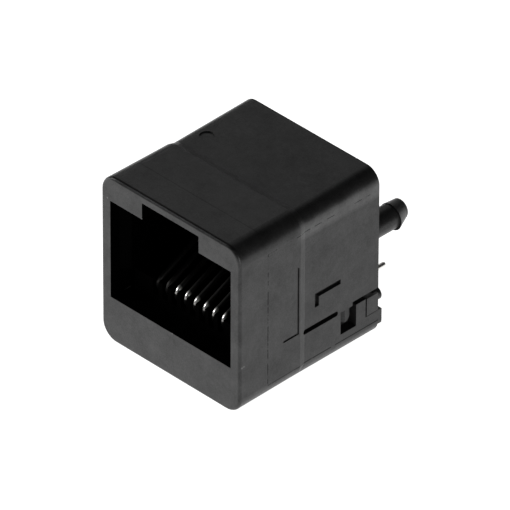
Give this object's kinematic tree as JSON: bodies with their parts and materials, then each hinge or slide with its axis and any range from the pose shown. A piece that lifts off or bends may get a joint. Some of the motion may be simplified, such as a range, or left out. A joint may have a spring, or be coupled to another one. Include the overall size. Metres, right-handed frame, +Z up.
{
  "type": "modular jack",
  "caption": "Top-entry modular jack with a barbed-peg housing, a snapped-in contact carrier and staggered solder tails, lying on its contact side.",
  "frame": {"origin": "on the underside, below the middle of the whole part, board pegs included", "axes": "+Z up towards the latch side, -Y out of the mouth, +Y towards the circuit board, +X to the right seen from the mouth"},
  "size_m": [0.0152, 0.0196, 0.0155],
  "materials": {
    "housing_plastic": "fine moulded grain, matte black glass-filled plastic",
    "carrier_plastic": "smooth matte black plastic",
    "contact_metal": "bright plated phosphor bronze wire"
  },
  "bodies": {
    "root": {"housing": "housing_plastic", "contact_carrier": "carrier_plastic", "contact_1": "contact_metal", "contact_2": "contact_metal", "contact_3": "contact_metal", "contact_4": "contact_metal", "contact_5": "contact_metal", "contact_6": "contact_metal", "contact_7": "contact_metal", "contact_8": "contact_metal"}
  },
  "joints": []
}
